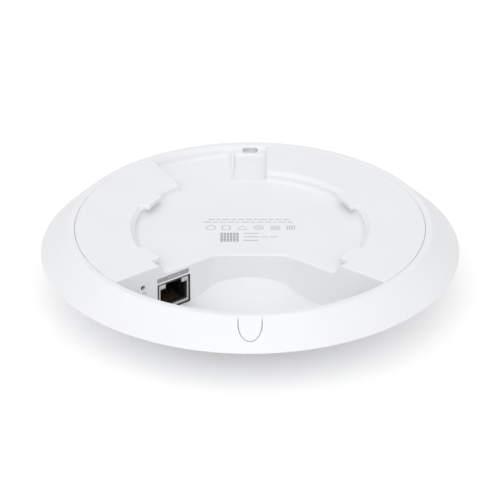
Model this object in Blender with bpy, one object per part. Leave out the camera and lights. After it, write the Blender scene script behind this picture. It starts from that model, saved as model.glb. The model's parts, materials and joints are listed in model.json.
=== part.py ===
"""Round ceiling access point, lying as it hangs: back cover up, front dome down.

Lengths are in millimetres: x and y from the vertical axis of the body, z from the back plane
(depths are negative).  Finished pieces are scaled to metres and lifted by HEIGHT, so the scene's
origin is the lowest point of the dome.  The cable bay and notch lie towards -Y, the lock channel
towards +Y.  Cutting shapes run past the faces they open.
"""
import math

import bmesh
import bpy
from mathutils import Vector

# ---------------------------------------------------------------- driving dimensions
MM = 0.001
SEG = 72                 # steps round the large turned pieces
HEIGHT = 33.0            # dome's lowest point to back plane

# front dome
R_CAP = 84.0             # radius and height where the curved cap meets the rim
Z_CAP = -11.75
CAP_POWER = 2.1          # fullness of the cap
WALL_DOME = 1.8
LENS_AT = (0.0, 52.0)    # status light
R_LENS_HOLE, R_LENS_PIPE = 2.4, 2.1

# rear bezel
R_OUT = 85.5             # widest radius
Z_SEAM = -10.8           # underside of the bezel's outer edge
SEAM_GAP = 0.05
R_SEAM_IN = 82.2         # inner radius of both faces at the seam
R_BEZEL_IN = 71.5        # inner and outer faces of the skirt
R_BEZEL_SKIRT = 73.2
Z_SKIRT = -15.2          # skirt's lower edge
NOTCH_HALF, NOTCH_Z = 4.85, -2.6     # cable notch: half width, centre of its round end
PLUG_GAP = 0.3
Z_PLUG = -9.0            # lower edge of the plug's skirt

# back cover
R_COVER = R_BEZEL_IN - 0.1
T_PLATE = 2.2
T_FLOOR = 1.8            # floor and wall thickness of the tubs
T_BAY_FLOOR = 1.6
R_RECESS = 48.9          # bracket recess
R_RECESS_WIDE = 50.0     # its wider part, beside the cable bay
WIDE_FROM, WIDE_TO = 217.0, 323.0    # degrees
Z_RECESS = -4.4
T_LUG = 1.8
# Bayonet lugs: start and end angle in degrees, inner radius
LUGS = ((144.3, 158.6, 44.5), (21.4, 35.7, 44.5),
        (203.0, WIDE_FROM, 44.9), (WIDE_TO, 337.0, 44.9))
SECTOR_IN = (-30.0, 37.0)            # corners of the sector beside the lock channel
SECTOR_OUT = (-41.7, 59.0)
CHANNEL_L, CHANNEL_R = -6.8, 6.9     # lock channel's sides
Z_CHANNEL = -4.7
RIB_W, RIB_Y0, RIB_Y1, RIB_TOP = 1.2, 57.0, 71.0, -2.7

# cable bay
BAY_BACK_X, BAY_BACK_Y = 14.3, -17.1      # corners nearest the middle
BAY_SIDE_X, BAY_SIDE_Y = 53.5, -47.8      # where the slanted walls meet the bezel
BAY_CORNER_R = 8.0
Z_BAY = -21.45
# Bay floor, turned about the body's axis: radius, z
BAY_FLOOR = ((0.0, -13.2), (16.3, -14.3), (18.6, -15.6), (21.3, -17.1), (24.0, -18.5),
             (27.0, -19.75), (29.9, -20.65), (34.4, -21.3), (41.0, Z_BAY), (51.5, Z_BAY),
             (58.0, -19.6), (66.0, -16.6), (74.0, -13.2))

# port wall: x and y here are in the port frame, described where it is made
PORT_X, PORT_Y = 13.3, -16.317       # frame's distance to the left of the axis, and its y
JACK_X = (-29.8, -13.8)
JACK_Z = (-20.8, -9.0)
JACK_DEEP = 18.6
LIGHT_OFFSET = 6.05      # jack's middle to each of its light pipes
RESET_X, RESET_Z, RESET_R = -37.3, -7.4, 1.0
R_RESET_BORE, R_RESET_ROD = 0.95, 0.7

# main board, with its parts hanging from the underside
Z_PCB, T_PCB, R_PCB = -9.3, 1.6, 67.5
BOARD_GAP = 0.3          # clearance between the board and whatever stands against it
Z_BOARD_LOW = Z_PCB - T_PCB
Z_PARTS = Z_BOARD_LOW - BOARD_GAP
BOSSES = ((-40.0, 40.0), (40.0, 40.0), (-58.0, -8.0), (58.0, -8.0))

for old in list(bpy.data.objects):
    bpy.data.objects.remove(old, do_unlink=True)

SCENE = bpy.context.scene.collection

# ---------------------------------------------------------------- materials
# name: base colour, roughness, metallic
FINISHES = {
    "white_shell": ((0.82, 0.83, 0.85), 0.42, 0.0),
    "white_dome": ((0.84, 0.85, 0.86), 0.38, 0.0),
    "white_plug": ((0.83, 0.84, 0.86), 0.45, 0.0),
    "nickel_shield": ((0.45, 0.45, 0.46), 0.35, 1.0),
    "black_insulator": ((0.02, 0.02, 0.022), 0.5, 0.0),
    "gold_contact": ((0.85, 0.62, 0.28), 0.25, 1.0),
    "light_pipe": ((0.9, 0.9, 0.88), 0.2, 0.0),
    "label_grey": ((0.42, 0.43, 0.45), 0.6, 0.0),
    "board_green": ((0.03, 0.14, 0.07), 0.5, 0.0),
    "chip_black": ((0.025, 0.025, 0.028), 0.45, 0.0),
    "tin_can": ((0.62, 0.62, 0.6), 0.35, 1.0),
    "spreader_aluminium": ((0.75, 0.76, 0.77), 0.4, 1.0),
    "thermal_pad_grey": ((0.4, 0.45, 0.5), 0.8, 0.0),
    "antenna_tin": ((0.7, 0.66, 0.58), 0.35, 1.0),
    "screw_steel": ((0.5, 0.5, 0.5), 0.3, 1.0),
    "ferrite_grey": ((0.1, 0.1, 0.11), 0.6, 0.0),
    "transformer_tape": ((0.75, 0.6, 0.1), 0.5, 0.0),
    "capacitor_sleeve": ((0.05, 0.06, 0.12), 0.4, 0.0),
    "reset_plunger_black": ((0.03, 0.03, 0.03), 0.5, 0.0),
}


def material(name, colour, roughness, metallic):
    made = bpy.data.materials.new(name)
    made.use_nodes = True
    inputs = made.node_tree.nodes["Principled BSDF"].inputs
    inputs["Base Color"].default_value = (*colour, 1.0)
    inputs["Roughness"].default_value = roughness
    inputs["Metallic"].default_value = metallic
    return made


MATERIALS = {name: material(name, *values) for name, values in FINISHES.items()}


# ---------------------------------------------------------------- outlines and spans
def arc(radius, start, end, step=5.0, mid_x=0.0, mid_y=0.0):
    """Points from angle start to angle end, in degrees, both included."""
    count = max(1, int(abs(end - start) / step + 0.5))
    angles = [math.radians(start + (end - start) * i / count) for i in range(count + 1)]
    return [(mid_x + radius * math.cos(a), mid_y + radius * math.sin(a)) for a in angles]


def circle(mid_x, mid_y, radius, steps):
    angles = [2 * math.pi * i / steps for i in range(steps)]
    return [(mid_x + radius * math.cos(a), mid_y + radius * math.sin(a)) for a in angles]


def around(middle, half):
    return middle - half, middle + half


def inset(span, margin):
    """The span shortened at both ends; a negative margin lengthens it."""
    return span[0] + margin, span[1] - margin


def below_board(far, near):
    """Height span between two depths under the board parts' mounting plane."""
    return Z_PARTS - far, Z_PARTS - near


# ---------------------------------------------------------------- solids
# `place` passes on `at` (the object's origin) and `parent` to finish.
def finish(name, shape, mat=None, at=(0, 0, 0), parent=None):
    """Turns a bmesh in mm into an object in metres, and frees the bmesh."""
    bmesh.ops.remove_doubles(shape, verts=shape.verts, dist=1e-4)
    bmesh.ops.recalc_face_normals(shape, faces=shape.faces)
    bmesh.ops.translate(shape, verts=shape.verts, vec=Vector(at) * -1)
    bmesh.ops.scale(shape, verts=shape.verts, vec=(MM, MM, MM))
    mesh = bpy.data.meshes.new(name)
    shape.to_mesh(mesh)
    shape.free()
    obj = bpy.data.objects.new(name, mesh)
    SCENE.objects.link(obj)
    if parent is None:
        obj.location = (at[0] * MM, at[1] * MM, (at[2] + HEIGHT) * MM)
    else:
        obj.parent = parent
        obj.location = Vector(at) * MM
    if mat is not None:
        mesh.materials.append(MATERIALS[mat])
    mesh.shade_smooth()
    mesh.set_sharp_from_angle(angle=math.radians(32))
    return obj


def prism_shape(points, z):
    shape = bmesh.new()
    face = shape.faces.new([shape.verts.new((x, y, z[0])) for x, y in points])
    made = bmesh.ops.extrude_face_region(shape, geom=[face])["geom"]
    moved = [item for item in made if isinstance(item, bmesh.types.BMVert)]
    bmesh.ops.translate(shape, verts=moved, vec=(0, 0, z[1] - z[0]))
    return shape


def prism(name, points, z, mat=None, **place):
    return finish(name, prism_shape(points, z), mat, **place)


def round_bar(name, x, y, radius, z, mat=None, steps=16):
    return prism(name, circle(x, y, radius, steps), z, mat)


def slab(name, x, y, z, mat=None, bevel=0.0, **place):
    """A box given by its spans."""
    shape = prism_shape([(x[0], y[0]), (x[1], y[0]), (x[1], y[1]), (x[0], y[1])], z)
    if bevel:
        bmesh.ops.recalc_face_normals(shape, faces=shape.faces)
        bmesh.ops.bevel(shape, geom=list(shape.edges), offset=bevel, segments=1,
                        profile=0.5, affect="EDGES")
    return finish(name, shape, mat, **place)


def revolved(name, profile, mat=None, steps=SEG, at=(0, 0, 0)):
    """A closed profile of (radius, z) points turned about the vertical line through `at`."""
    shape = bmesh.new()
    ring = [shape.verts.new((at[0] + radius, at[1], z)) for radius, z in profile]
    edges = [shape.edges.new(pair) for pair in zip(ring, ring[1:])]
    edges.append(shape.edges.new((ring[-1], ring[0])))
    bmesh.ops.spin(shape, geom=ring + edges, cent=(at[0], at[1], 0), axis=(0, 0, 1),
                   angle=2 * math.pi, steps=steps, use_merge=True)
    bmesh.ops.dissolve_degenerate(shape, dist=1e-4, edges=shape.edges)
    return finish(name, shape, mat, at=at)


def loft(name, sections, mat=None, **place):
    """Rings of equal length joined one after another, and capped."""
    shape = bmesh.new()
    rings = [[shape.verts.new(point) for point in section] for section in sections]
    count = len(rings[0])
    for ring, following in zip(rings, rings[1:]):
        for i in range(count):
            j = (i + 1) % count
            shape.faces.new((ring[i], ring[j], following[j], following[i]))
    shape.faces.new(rings[0])
    shape.faces.new(rings[-1])
    return finish(name, shape, mat, **place)


def prism_y(name, outline, ends, mat=None, **place):
    """An outline of (x, z) points drawn out along y."""
    return loft(name, [[(x, y, z) for x, z in outline] for y in ends], mat, **place)


def boolean(target, tool, operation="DIFFERENCE"):
    """Applies the tool to the target by a modifier, and makes it a hidden helper."""
    mod = target.modifiers.new(operation.lower() + "_" + tool.name, "BOOLEAN")
    mod.operation = operation
    mod.solver = "EXACT"
    mod.object = tool
    tool.hide_render = True
    tool.display_type = "WIRE"


def frame(name, x, y, turn):
    """An empty on the back plane, turned about the vertical."""
    obj = bpy.data.objects.new(name, None)
    obj.location = (x * MM, y * MM, HEIGHT * MM)
    obj.rotation_euler = (0, 0, turn)
    SCENE.objects.link(obj)
    return obj


# ---------------------------------------------------------------- front dome
def cap_z(radius, rise=0.0):
    return -HEIGHT + rise + (Z_CAP + HEIGHT) * (radius / R_CAP) ** CAP_POWER


Z_DOME_TOP = Z_SEAM - SEAM_GAP
OUTER_RADII = (83.4, 80.0, 74.0, 66.0, 56.0, 45.0, 33.0, 20.0, 8.0)
INNER_RADII = (*reversed(OUTER_RADII[2:]), 79.0)
DOME_RIM = [(84.4, Z_DOME_TOP), (84.7, -11.05), (84.7, -11.25), (84.35, -11.5)]  # radius, z

outer = DOME_RIM + [(radius, cap_z(radius)) for radius in OUTER_RADII] + [(0.0, -HEIGHT)]
inner = [(0.0, -HEIGHT + WALL_DOME)]
inner += [(radius, cap_z(radius, WALL_DOME)) for radius in INNER_RADII]
inner += [(R_SEAM_IN, -11.6), (R_SEAM_IN, Z_DOME_TOP)]
dome = revolved("front_dome", outer + inner, "white_dome")
boolean(dome, round_bar("cut_lens", *LENS_AT, R_LENS_HOLE, (-40, -15)))

# ---------------------------------------------------------------- rear bezel and notch plug
# Outer edges, from the underside up: radius, z
BEZEL_EDGE = [(R_SEAM_IN, Z_SEAM), (85.25, Z_SEAM), (R_OUT, -10.6), (R_OUT, -10.45),
              (85.2, -10.2)]
PLUG_EDGE = [(82.0, -9.4), (84.0, -9.06)]
# Slot in the skirt: fractions of its half width and half height
SLOT_SHAPE = ((-0.68, 1), (0.68, 1), (0.92, 0.7), (1, 0), (0.92, -0.7), (0.68, -1),
              (-0.68, -1), (-0.92, -0.7), (-1, 0), (-0.92, 0.7))
SLOT_HALF_W, SLOT_HALF_H, SLOT_Z = 3.2, 1.22, -2.18


def bezel_profile(skirt_z, outer_edge):
    """Skirt, outer edge and top lip, shared by the bezel and the plug that fills its notch."""
    skirt = [(R_BEZEL_IN, skirt_z), (R_BEZEL_SKIRT, skirt_z),
             (R_BEZEL_SKIRT, -3.6), (R_BEZEL_SKIRT + 0.9, -3.1)]
    lip = [(74.75, -0.33), (74.1, 0.0), (72.0, 0.0), (R_BEZEL_IN, -0.5)]
    return skirt + outer_edge + lip


def notch_block(name, half):
    """A block with a U outline, open upwards, through the bezel's -Y side."""
    outline = [(half, 4.0)] + arc(half, 0, -180, 15, 0.0, NOTCH_Z) + [(-half, 4.0)]
    return prism_y(name, outline, (-95, -60))


bezel = revolved("rear_bezel", bezel_profile(Z_SKIRT, BEZEL_EDGE), "white_shell")
boolean(bezel, notch_block("cut_notch", NOTCH_HALF))
# slot for the bracket's catch, at the lock channel's end
slot = [(SLOT_HALF_W * across, SLOT_Z + SLOT_HALF_H * up) for across, up in SLOT_SHAPE]
boolean(bezel, prism_y("cut_catch_slot", slot, (69.0, 74.6)))

plug = revolved("cable_notch_plug", bezel_profile(Z_PLUG, PLUG_EDGE), "white_plug")
boolean(plug, notch_block("keep_notch", NOTCH_HALF - PLUG_GAP), "INTERSECT")


# ---------------------------------------------------------------- back cover
def bay_outline(grow, reach):
    """Cable bay in plan: filleted inner corners, slanted sides, then out past the rim."""
    length = math.hypot(BAY_SIDE_X - BAY_BACK_X, BAY_SIDE_Y - BAY_BACK_Y)
    along_x = (BAY_SIDE_X - BAY_BACK_X) / length
    along_y = (BAY_SIDE_Y - BAY_BACK_Y) / length
    half = math.atan2(-along_y, along_x) / 2
    corner_x = BAY_BACK_X - BAY_CORNER_R * math.tan(half)
    corner_y = BAY_BACK_Y - BAY_CORNER_R
    right = arc(BAY_CORNER_R + grow, 90, 90 - math.degrees(2 * half), 10, corner_x, corner_y)
    end_x = BAY_SIDE_X + along_x * reach - along_y * grow
    end_y = BAY_SIDE_Y + along_y * reach + along_x * grow
    right += [(end_x, end_y), (end_x, -95.0)]
    return [(-x, y) for x, y in reversed(right)] + right


def under_floor(name, drop, reach, bottom):
    """Everything under the bay floor lowered by drop."""
    floor = [(radius, z - drop) for radius, z in BAY_FLOOR]
    profile = [(0.0, bottom)] + floor + [(reach, floor[-1][1]), (reach, bottom)]
    return revolved(name, profile, steps=48)


def recess_radius(angle, with_lugs):
    if with_lugs:
        for start, end, radius in LUGS:
            if start <= angle <= end:
                return radius
    return R_RECESS_WIDE if WIDE_FROM < angle < WIDE_TO else R_RECESS


def recess_outline(with_lugs):
    stops = sorted({0.0, WIDE_FROM, WIDE_TO, *(angle for lug in LUGS for angle in lug[:2])})
    points = []
    for start, end in zip(stops, stops[1:] + [360.0]):
        points += arc(recess_radius((start + end) / 2, with_lugs), start, end, 5.5)
    kept = []
    for point in points:
        if not kept or math.dist(point, kept[-1]) > 0.05:
            kept.append(point)
    return kept if math.dist(kept[0], kept[-1]) > 0.05 else kept[:-1]


sector_in = math.degrees(math.atan2(SECTOR_IN[1], SECTOR_IN[0]))
sector_out = math.degrees(math.atan2(SECTOR_OUT[1], SECTOR_OUT[0]))
rib_left = CHANNEL_L - RIB_W

# plate, and the tubs added under it
cover = round_bar("back_cover", 0, 0, R_COVER + 3, (-T_PLATE, 0.0), "white_shell", steps=SEG)
boolean(cover, round_bar("add_recess_tub", 0, 0, R_RECESS_WIDE + T_FLOOR,
                         (Z_RECESS - T_FLOOR, -1.0), steps=60), "UNION")
sector_tub = arc(74.5, 81.5, sector_out + 2.2) + arc(45.0, sector_in + 3.0, 77.0)
boolean(cover, prism("add_sector_tub", sector_tub, (Z_CHANNEL - T_FLOOR + 0.1, -1.1)), "UNION")
bay_tub = prism("add_bay_tub", bay_outline(T_FLOOR, 14.0), (-26.0, -1.2))
boolean(bay_tub, under_floor("cut_under_bay", T_BAY_FLOOR, 90.0, -40.0))
boolean(cover, bay_tub, "UNION")

# hollows: the recess is cut with lugs above and full width below them
boolean(cover, prism("cut_recess_top", recess_outline(True), (-4.0, 3.0)))
boolean(cover, prism("cut_recess_low", recess_outline(False), (Z_RECESS, -T_LUG)))
sector = [(rib_left, 46.0), (rib_left, 76.0)] + arc(76.0, 97.0, sector_out)
boolean(cover, prism("cut_sector", sector + [SECTOR_IN, (-20.0, 43.0)], (Z_RECESS, 3.2)))
channel = [(rib_left - 0.2, 47.6), (CHANNEL_R, 47.6), (CHANNEL_R, 77.0), (rib_left - 0.2, 77.0)]
boolean(cover, prism("cut_channel", channel, (Z_CHANNEL, 3.4)))
bay = prism("cut_bay", bay_outline(0.0, 20.0), (-27.0, 3.0))
boolean(bay, under_floor("keep_bay_floor", 0.0, 95.0, -45.0))
boolean(cover, bay)

# rib along the lock channel, screw bosses, and the round edge
rib = [(CHANNEL_L, RIB_Y0), (CHANNEL_L, RIB_Y1), (rib_left, RIB_Y1), (rib_left, RIB_Y0)]
boolean(cover, prism("add_rib", rib, (Z_CHANNEL - 0.6, RIB_TOP)), "UNION")
for i, (x, y) in enumerate(BOSSES):
    boolean(cover, round_bar("add_boss_%d" % i, x, y, 3.4, (Z_PCB + BOARD_GAP, -1.5)), "UNION")
    boolean(cover, round_bar("cut_boss_%d" % i, x, y, 1.7, (Z_PCB - 3.0, -2.9)))
boolean(cover, round_bar("keep_round", 0, 0, R_COVER, (-40.0, 10.0), steps=SEG), "INTERSECT")

# ---------------------------------------------------------------- port wall
# The frame stands on the -X slanted wall: its x runs along the wall towards the middle,
# its y into the housing.
port_turn = math.atan2(BAY_BACK_Y - BAY_SIDE_Y, BAY_SIDE_X - BAY_BACK_X)
port = frame("port_frame", -PORT_X, PORT_Y, port_turn)
jack_mid = (JACK_X[0] + JACK_X[1]) / 2
jack_low, jack_high = JACK_Z
SIDES = (("left", -1), ("right", 1))


def reset_bar(name, radius, ends, mat=None, **place):
    """A bar along y on the reset button's axis."""
    outline = circle(RESET_X, RESET_Z, radius, 14)
    return prism_y(name, outline, ends, mat, parent=port, **place)


def port_cut(target, name, x, y, z):
    boolean(target, slab(name, x, y, z, parent=port))


port_cut(cover, "cut_jack", inset(JACK_X, -0.3), (-1.0, 3.4), (jack_low - 0.25, jack_high + 0.3))
boolean(cover, reset_bar("cut_reset", RESET_R, (-1.2, 3.6)))

# jack: sheet shield, insulator inside it, and a light pipe in each upper corner
shield = slab("jack_shield", JACK_X, (0.2, JACK_DEEP), JACK_Z, "nickel_shield", parent=port)
port_cut(shield, "cut_shield", inset(JACK_X, 0.35), (0.55, JACK_DEEP + 2), inset(JACK_Z, 0.35))
port_cut(shield, "cut_mouth", around(jack_mid, 6.4), (-1.0, 1.5), (-18.8, -12.2))
port_cut(shield, "cut_latch", around(jack_mid, 4.0), (-1.1, 1.6), (-13.0, -9.7))
insulator = slab("jack_insulator", inset(JACK_X, 0.55), (0.75, JACK_DEEP - 0.4),
                 inset(JACK_Z, 0.55), "black_insulator", parent=port)
port_cut(insulator, "cut_plug", around(jack_mid, 6.05), (-1.0, 14.6), (-18.7, -12.3))
port_cut(insulator, "cut_latch_way", around(jack_mid, 3.8), (-1.2, 12.6), (-13.2, -10.05))
port_cut(insulator, "cut_contact_bed", around(jack_mid, 4.5), (1.5, 13.5), (-19.85, -17.0))
for side, sign in SIDES:
    x = jack_mid + sign * LIGHT_OFFSET
    port_cut(shield, "cut_window_" + side, around(x, 1.45), (-0.9, 1.4), (-11.5, -9.6))
    pipe_way = sorted((x - sign * 1.55, x + sign * 4))
    port_cut(insulator, "cut_pipe_" + side, pipe_way, (-1.3, 7.0), (-11.6, -7.0))
    slab("jack_light_pipe_" + side, around(x, 1.25), (0.25, 6.6), (-11.3, -9.75),
         "light_pipe", bevel=0.12, parent=port)

# eight sprung contacts, rooted near the mouth, rising inwards and dipping at the tip
CONTACT_PATH = ((2.1, -19.25), (9.0, -16.35), (10.3, -16.75))  # y, z from the root
CONTACT_COUNT, CONTACT_PITCH = 8, 1.02
CONTACT_HALF_W, CONTACT_HALF_T = 0.23, 0.17

contact_faces = []  # lower and upper (y, z) at each station
for i, (y, z) in enumerate(CONTACT_PATH):
    before, after = CONTACT_PATH[max(i - 1, 0)], CONTACT_PATH[min(i + 1, 2)]
    run_y, run_z = after[0] - before[0], after[1] - before[1]
    length = math.hypot(run_y, run_z)
    off_y, off_z = -run_z / length * CONTACT_HALF_T, run_y / length * CONTACT_HALF_T
    contact_faces.append(((y - off_y, z - off_z), (y + off_y, z + off_z)))
for i in range(CONTACT_COUNT):
    x = jack_mid + (i - (CONTACT_COUNT - 1) / 2) * CONTACT_PITCH
    left, right = around(x, CONTACT_HALF_W)
    rings = [[(left, *low), (right, *low), (right, *high), (left, *high)]
             for low, high in contact_faces]
    loft("jack_contact_%d" % (i + 1), rings, "gold_contact", at=(x, *CONTACT_PATH[0]),
         parent=port)

slab("port_label", (JACK_X[0], -14.0), (-0.28, -0.03), (-7.9, -6.1), "label_grey", parent=port)

# reset button: a plunger in a side-pressed switch above the board
switch = slab("reset_switch", around(RESET_X, 3.0), (3.9, 7.6), (Z_PCB + BOARD_GAP, -5.5),
              "chip_black", bevel=0.15, parent=port)
boolean(switch, reset_bar("cut_switch_bore", R_RESET_BORE, (3.0, 5.6)))
reset_bar("reset_button", R_RESET_ROD, (2.3, 5.2), "reset_plunger_black",
          at=(RESET_X, 2.3, RESET_Z))

# ---------------------------------------------------------------- main board and its screws
SCREW = [(0.0, Z_BOARD_LOW - 2.3), (2.2, Z_BOARD_LOW - 2.1), (2.9, Z_BOARD_LOW - 1.2),
         (2.9, Z_PARTS), (1.3, Z_PARTS), (1.3, -4.4), (0.7, -3.8), (0.0, -3.8)]  # radius, z

board = round_bar("main_board", 0, 0, R_PCB, (Z_BOARD_LOW, Z_PCB), "board_green", steps=SEG)
through_board = (Z_BOARD_LOW - 2, Z_PCB + 2)
boolean(board, prism("cut_board_bay", bay_outline(T_FLOOR + 0.6, 30.0), through_board))
port_cut(board, "cut_board_jack", inset(JACK_X, -0.4), (-3.0, JACK_DEEP + 0.4),
         inset(through_board, -1))
for i, (x, y) in enumerate(BOSSES):
    boolean(board, round_bar("cut_board_hole_%d" % i, x, y, 1.75, through_board, steps=12))
    revolved("board_screw_%d" % (i + 1), SCREW, "screw_steel", steps=12, at=(x, y, 0))

# ---------------------------------------------------------------- parts under the board
# name, x span, y span, far and near depth below the mounting plane, material, bevel
BOARD_PARTS = (
    ("processor", (-9.0, 9.0), (4.0, 22.0), (1.6, 0), "chip_black", 0.2),
    ("thermal_pad", (-8.5, 8.5), (4.5, 21.5), (2.9, 1.9), "thermal_pad_grey", 0),
    ("memory_chip", (14.0, 24.0), (8.0, 22.0), (1.1, 0), "chip_black", 0.12),
    ("flash_chip", (16.0, 24.0), (-2.0, 4.0), (1.6, 0), "chip_black", 0.12),
    ("crystal", (10.5, 13.0), (-6.0, -2.8), (0.9, 0), "tin_can", 0.1),
    ("poe_controller", (-42.5, -35.5), (-5.0, 2.0), (1.1, 0), "chip_black", 0.12),
    ("poe_transformer_core", (-50.0, -36.0), (4.5, 18.5), (9.5, 0), "ferrite_grey", 0.35),
    ("poe_transformer_winding", (-53.6, -50.3), (6.5, 16.5), (7.6, 1.0), "transformer_tape", 0.5),
    ("lan_transformer", (-61.0, -51.0), (-25.0, -13.0), (6.0, 0), "chip_black", 0.25),
    ("power_inductor_1", (41.0, 51.0), (-24.0, -14.0), (4.2, 0), "ferrite_grey", 0.8),
    ("power_inductor_2", (27.0, 33.5), (-18.5, -12.0), (3.1, 0), "ferrite_grey", 0.5),
    ("status_led", around(LENS_AT[0], 1.0), around(LENS_AT[1], 0.7), (0.8, 0), "light_pipe", 0),
)
SPREADER_POSTS = (("lf", -29.0, -3.5), ("rf", 29.0, -3.5), ("lb", -29.0, 35.5), ("rb", 29.0, 35.5))
# radius, depth below the mounting plane
POST = ((0.0, 5.8), (2.0, 5.8), (2.0, 5.0), (1.0, 5.0), (1.0, 2.9), (2.0, 2.9), (2.0, 0), (0.0, 0))
# name, x span, y span
SHIELD_CANS = (("shield_can_2g", (-32.0, -14.0), (6.0, 31.0)),
               ("shield_can_5g", (-13.0, 15.0), (26.0, 44.0)))
CAN_HEIGHT, CAN_WALL = 2.8, 0.4
CAPACITORS = ((44.0, 0.0, 4.0, 9.0), (52.5, 2.5, 4.0, 9.0), (47.0, 10.5, 3.2, 8.0))
# ^ x, y, radius, height

for name, x, y, depths, mat, bevel in BOARD_PARTS:
    slab(name, x, y, below_board(*depths), mat, bevel=bevel)

spreader = slab("heat_spreader", (-34.0, 34.0), (-8.0, 40.0), below_board(4.7, 3.2),
                "spreader_aluminium", bevel=0.3)
post_profile = [(radius, Z_PARTS - depth) for radius, depth in POST]
for i, (tag, x, y) in enumerate(SPREADER_POSTS):
    boolean(spreader, round_bar("cut_spreader_" + tag, x, y, 1.3, below_board(8, -2), steps=12))
    revolved("spreader_post_%d" % (i + 1), post_profile, "screw_steel", steps=12, at=(x, y, 0))

for name, x, y in SHIELD_CANS:
    lid = slab(name, x, y, below_board(CAN_HEIGHT, 0), "tin_can", bevel=0.25)
    boolean(lid, slab("cut_" + name, inset(x, CAN_WALL), inset(y, CAN_WALL),
                      below_board(CAN_HEIGHT - CAN_WALL, -2)))

for i, (x, y, radius, height) in enumerate(CAPACITORS):
    end = Z_PARTS - height
    profile = [(0.0, end), (radius - 0.5, end), (radius, end + 0.5), (radius, Z_PARTS),
               (0.0, Z_PARTS)]
    revolved("capacitor_%d" % (i + 1), profile, "capacitor_sleeve", steps=16, at=(x, y, 0))

# ---------------------------------------------------------------- antennas
# Four stamped sheets near the edge, each a leg, a feed and a band, with an arm folded
# towards the middle.  Each frame's y points outwards.
ANTENNA_ANGLES = (22.0, 68.0, 112.0, 152.0)
R_ANTENNA = 60.0
ANTENNA_X = (-10.0, 10.0)

for i, degrees in enumerate(ANTENNA_ANGLES):
    number = "%d" % (i + 1)
    turn = math.radians(degrees)
    mount = frame("antenna_frame_" + number, R_ANTENNA * math.cos(turn),
                  R_ANTENNA * math.sin(turn), turn - math.pi / 2)
    sheet = slab("antenna_" + number, ANTENNA_X, (0.0, 0.4), below_board(5.6, 0),
                 "antenna_tin", parent=mount)
    boolean(sheet, slab("cut_antenna_" + number, (-7.6, 12.0), (-1.0, 1.4),
                        below_board(3.2, -1.0), parent=mount))
    boolean(sheet, slab("add_feed_" + number, (-3.8, -2.6), (0.05, 0.35),
                        below_board(4.0, 0), parent=mount), "UNION")
    boolean(sheet, slab("add_arm_" + number, inset(ANTENNA_X, 0.01), (-5.0, 0.2),
                        below_board(5.59, 5.21), parent=mount), "UNION")

# ---------------------------------------------------------------- status light pipe
# a clear rod from under the lamp down to the dome's face
pipe = circle(*LENS_AT, R_LENS_PIPE, 16)
loft("status_light_pipe", [[(x, y, Z_PARTS - 1.2) for x, y in pipe],
                           [(x, y, cap_z(math.hypot(x, y), 0.05)) for x, y in pipe]],
     "light_pipe")
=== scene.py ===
"""Visual model of a round ceiling access point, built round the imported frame.

It lies on its dome with its back facing up (+Z); the cable bay opens towards -Y, the near side.
Shapes are drawn in mm about the centre axis with z = 0 on the back plane. settle() turns them
into metres, with the dome's lowest point at z = 0.
"""
import json
import math

import bmesh
import bpy
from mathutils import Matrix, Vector


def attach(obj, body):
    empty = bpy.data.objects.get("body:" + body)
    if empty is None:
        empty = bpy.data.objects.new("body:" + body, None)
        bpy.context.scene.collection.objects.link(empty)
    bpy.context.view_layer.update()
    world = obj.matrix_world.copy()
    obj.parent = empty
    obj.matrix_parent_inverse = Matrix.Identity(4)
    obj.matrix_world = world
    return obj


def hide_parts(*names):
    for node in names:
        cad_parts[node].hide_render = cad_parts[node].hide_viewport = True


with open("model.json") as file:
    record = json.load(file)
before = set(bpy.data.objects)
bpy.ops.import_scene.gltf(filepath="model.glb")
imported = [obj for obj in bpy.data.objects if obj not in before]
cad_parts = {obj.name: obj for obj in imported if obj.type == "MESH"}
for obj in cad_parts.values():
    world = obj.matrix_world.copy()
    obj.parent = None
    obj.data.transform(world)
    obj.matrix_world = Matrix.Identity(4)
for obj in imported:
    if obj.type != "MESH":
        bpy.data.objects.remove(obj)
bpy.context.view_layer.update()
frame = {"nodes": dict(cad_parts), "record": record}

SCENE = bpy.context.scene

# ------------------------------------------------------------------ driving dimensions (mm)
HEIGHT = 33.0               # dome's lowest point to back plane
R_OUT = 85.5
Z_SEAM = -10.8              # between bezel and dome
R_BEZEL_IN = 71.5
R_COVER = 71.42
R_LINING = 70.85            # cover's thin wall round the recess' open sector
T_PLATE, T_FLOOR, T_LUG = 2.2, 1.8, 1.8

# bracket recess: its wall leans back by CHAMFER above CHAMFER_Z and has a ROOT fillet
R_RECESS, R_RECESS_NEAR, Z_RECESS = 48.9, 50.0, -4.4
CHAMFER, CHAMFER_Z, ROOT = 1.8, -1.5, 1.8
LEAN = 0.8                  # how far the lining leans back
RECESS_CORNER_R = 0.6
# start angle, end angle, radius: far left, far right, near left, near right
LUGS = ((144.3, 158.6, 44.5), (21.4, 35.7, 44.5), (203.0, 217.0, 44.9), (323.0, 337.0, 44.9))
SLANT_POINT, SLANT_WAY = (-29.9, 36.9), (-0.471, 0.882)   # slanted edge of the open sector

# cable bay: the right-hand slanted wall runs from BAY_BACK to BAY_SIDE
BAY_BACK, BAY_SIDE, BAY_CORNER_R = (14.3, -17.1), (53.5, -47.8), 8.0
Z_BAY = -21.45
# bay floor stations: radius from the centre axis, z
BAY_FLOOR = (
    (0.0, -13.2), (16.3, -14.3), (18.6, -15.6), (21.3, -17.1), (24.0, -18.5), (27.0, -19.75),
    (29.9, -20.65), (34.4, -21.3), (41.0, Z_BAY), (51.5, Z_BAY), (58.0, -19.6), (66.0, -16.6),
    (74.0, -13.2))

# lock channel on the far side
CHANNEL_L, CHANNEL_R = -6.85, 6.9
RIB_W, RIB_Y0, RIB_TOP = 1.2, 57.0, -2.7

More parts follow.
